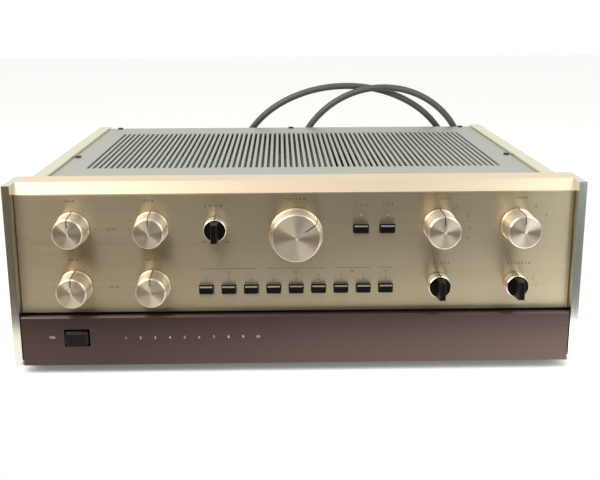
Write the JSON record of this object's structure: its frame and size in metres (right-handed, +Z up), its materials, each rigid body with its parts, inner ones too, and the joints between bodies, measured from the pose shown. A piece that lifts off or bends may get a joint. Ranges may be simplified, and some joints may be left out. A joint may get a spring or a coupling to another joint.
{
  "type": "preamplifier",
  "caption": "Full-width stereo preamplifier with gold front panel, turned knobs, push buttons, drop-down lower door, slotted top cover and a mains lead in loose turns.",
  "frame": {"origin": "on the surface it stands on, under the middle of its box without the mains lead", "axes": "+X to the right seen from the front, the front faces -Y, +Z up"},
  "size_m": [0.445, 0.4495, 0.198],
  "materials": {
    "gold_panel": "brushed, pale gold anodised",
    "gold_trim": "satin, pale gold anodised",
    "grey_cheek": "brushed, grey anodised",
    "brown_door": "brushed, dark brown anodised",
    "turned_aluminium": "fine turned, clear anodised",
    "black_gloss": "gloss black",
    "black_matte": "matte black",
    "cover_grey": "satin grey paint",
    "black_steel": "blackened",
    "steel": "plated",
    "foot_rubber": "matte black",
    "socket_metal": "nickel plated",
    "socket_white": "off-white",
    "lamp_lens": "clear",
    "board_green": "lacquered board",
    "capacitor_sleeve": "shrunk sleeve",
    "core_iron": "varnished laminations",
    "cord_black": "satin black",
    "pin_steel": "ground"
  },
  "bodies": {
    "chassis": {"front_panel": "gold_panel", "top_rail": "gold_trim", "left_cheek": "grey_cheek", "right_cheek": "grey_cheek", "front_chassis": "steel", "sub_panel_tray": "black_steel", "door_hinge_pins": "pin_steel", "door_magnet": "black_matte", "indicator_lamps": "lamp_lens", "headphone_jack": "socket_metal", "rotary_controls": "steel", "push_switches": "black_matte", "power_switch": "black_matte", "top_cover": "cover_grey", "cover_screws": "black_steel", "left_side_panel": "gold_trim", "right_side_panel": "gold_trim", "bottom_plate": "cover_grey", "case_screws": "black_steel", "feet": "foot_rubber", "rear_panel": "black_steel", "jack_barrels": "socket_metal", "jack_insulators": "socket_white", "ground_post": "socket_metal", "mains_outlets": "black_matte", "fuse_holder": "black_matte", "power_transformer": "core_iron", "filter_capacitors": "capacitor_sleeve", "main_board": "board_green", "cord_relief": "cord_black", "mains_cord": "cord_black", "mains_plug": "cord_black"},
    "volume_knob": {"volume_knob": "turned_aluminium"},
    "treble_left_knob": {"treble_left_knob": "turned_aluminium"},
    "treble_right_knob": {"treble_right_knob": "turned_aluminium"},
    "bass_left_knob": {"bass_left_knob": "turned_aluminium"},
    "bass_right_knob": {"bass_right_knob": "turned_aluminium"},
    "mode_knob": {"mode_knob": "turned_aluminium"},
    "input_knob": {"input_knob": "turned_aluminium"},
    "level_knob_left": {"level_knob_left": "turned_aluminium"},
    "level_knob_right": {"level_knob_right": "turned_aluminium"},
    "push_button_1": {"push_button_1": "black_gloss"},
    "push_button_2": {"push_button_2": "black_gloss"},
    "push_button_3": {"push_button_3": "black_gloss"},
    "push_button_4": {"push_button_4": "black_gloss"},
    "push_button_5": {"push_button_5": "black_gloss"},
    "push_button_6": {"push_button_6": "black_gloss"},
    "push_button_7": {"push_button_7": "black_gloss"},
    "push_button_8": {"push_button_8": "black_gloss"},
    "push_button_9": {"push_button_9": "black_gloss"},
    "upper_button_1": {"upper_button_1": "black_gloss"},
    "upper_button_2": {"upper_button_2": "black_gloss"},
    "power_button": {"power_button": "black_gloss"},
    "filter_knob": {"filter_pointer_knob": "black_gloss", "filter_knob_skirt": "turned_aluminium"},
    "monitor_knob": {"monitor_pointer_knob": "black_gloss", "monitor_knob_skirt": "turned_aluminium"},
    "loudness_knob": {"loudness_pointer_knob": "black_gloss", "loudness_knob_skirt": "turned_aluminium"},
    "door": {"sub_panel_door": "brown_door"}
  },
  "joints": [
    {"name": "volume_turn", "type": "hinge", "parent": "chassis", "child": "volume_knob", "pos_m": [0, -0.165, 0.111], "axis": [0, 1, 0], "range_deg": [-205, 95]},
    {"name": "treble_left_turn", "type": "hinge", "parent": "chassis", "child": "treble_left_knob", "pos_m": [-0.172, -0.165, 0.117], "axis": [0, 1, 0], "range_deg": [-150, 150]},
    {"name": "treble_right_turn", "type": "hinge", "parent": "chassis", "child": "treble_right_knob", "pos_m": [-0.1115, -0.165, 0.117], "axis": [0, 1, 0], "range_deg": [-150, 150]},
    {"name": "bass_left_turn", "type": "hinge", "parent": "chassis", "child": "bass_left_knob", "pos_m": [-0.172, -0.165, 0.0704], "axis": [0, 1, 0], "range_deg": [-150, 150]},
    {"name": "bass_right_turn", "type": "hinge", "parent": "chassis", "child": "bass_right_knob", "pos_m": [-0.1115, -0.165, 0.0704], "axis": [0, 1, 0], "range_deg": [-150, 150]},
    {"name": "mode_turn", "type": "hinge", "parent": "chassis", "child": "mode_knob", "pos_m": [0.1115, -0.165, 0.117], "axis": [0, 1, 0], "range_deg": [-60, 60]},
    {"name": "input_turn", "type": "hinge", "parent": "chassis", "child": "input_knob", "pos_m": [0.172, -0.165, 0.117], "axis": [0, 1, 0], "range_deg": [-60, 60]},
    {"name": "filter_turn", "type": "hinge", "parent": "chassis", "child": "filter_knob", "pos_m": [-0.062, -0.165, 0.117], "axis": [0, 1, 0], "range_deg": [-45, 45]},
    {"name": "monitor_turn", "type": "hinge", "parent": "chassis", "child": "monitor_knob", "pos_m": [0.1115, -0.165, 0.0704], "axis": [0, 1, 0], "range_deg": [-60, 60]},
    {"name": "loudness_turn", "type": "hinge", "parent": "chassis", "child": "loudness_knob", "pos_m": [0.172, -0.165, 0.0704], "axis": [0, 1, 0], "range_deg": [-60, 60]},
    {"name": "level_left_turn", "type": "hinge", "parent": "chassis", "child": "level_knob_left", "pos_m": [-0.075, -0.165, 0.027], "axis": [0, 1, 0], "range_deg": [-135, 135]},
    {"name": "level_right_turn", "type": "hinge", "parent": "chassis", "child": "level_knob_right", "pos_m": [-0.045, -0.165, 0.027], "axis": [0, 1, 0], "range_deg": [-135, 135]},
    {"name": "push_button_1_press", "type": "slide", "parent": "chassis", "child": "push_button_1", "axis": [0, 1, 0], "range_m": [0, 0.003], "stiffness_N_per_m": 600, "springref_m": -0.002},
    {"name": "push_button_2_press", "type": "slide", "parent": "chassis", "child": "push_button_2", "axis": [0, 1, 0], "range_m": [0, 0.003], "stiffness_N_per_m": 600, "springref_m": -0.002},
    {"name": "push_button_3_press", "type": "slide", "parent": "chassis", "child": "push_button_3", "axis": [0, 1, 0], "range_m": [0, 0.003], "stiffness_N_per_m": 600, "springref_m": -0.002},
    {"name": "push_button_4_press", "type": "slide", "parent": "chassis", "child": "push_button_4", "axis": [0, 1, 0], "range_m": [0, 0.003], "stiffness_N_per_m": 600, "springref_m": -0.002},
    {"name": "push_button_5_press", "type": "slide", "parent": "chassis", "child": "push_button_5", "axis": [0, 1, 0], "range_m": [0, 0.003], "stiffness_N_per_m": 600, "springref_m": -0.002},
    {"name": "push_button_6_press", "type": "slide", "parent": "chassis", "child": "push_button_6", "axis": [0, 1, 0], "range_m": [0, 0.003], "stiffness_N_per_m": 600, "springref_m": -0.002},
    {"name": "push_button_7_press", "type": "slide", "parent": "chassis", "child": "push_button_7", "axis": [0, 1, 0], "range_m": [0, 0.003], "stiffness_N_per_m": 600, "springref_m": -0.002},
    {"name": "push_button_8_press", "type": "slide", "parent": "chassis", "child": "push_button_8", "axis": [0, 1, 0], "range_m": [0, 0.003], "stiffness_N_per_m": 600, "springref_m": -0.002},
    {"name": "push_button_9_press", "type": "slide", "parent": "chassis", "child": "push_button_9", "axis": [0, 1, 0], "range_m": [0, 0.003], "stiffness_N_per_m": 600, "springref_m": -0.002},
    {"name": "upper_button_1_press", "type": "slide", "parent": "chassis", "child": "upper_button_1", "axis": [0, 1, 0], "range_m": [0, 0.003], "stiffness_N_per_m": 600, "springref_m": -0.002},
    {"name": "upper_button_2_press", "type": "slide", "parent": "chassis", "child": "upper_button_2", "axis": [0, 1, 0], "range_m": [0, 0.003], "stiffness_N_per_m": 600, "springref_m": -0.002},
    {"name": "power_button_press", "type": "slide", "parent": "chassis", "child": "power_button", "axis": [0, 1, 0], "range_m": [0, 0.004], "stiffness_N_per_m": 600, "springref_m": -0.002},
    {"name": "door_swing", "type": "hinge", "parent": "chassis", "child": "door", "pos_m": [0, -0.16295, 0.0112], "axis": [1, 0, 0], "range_deg": [0, 90]}
  ]
}
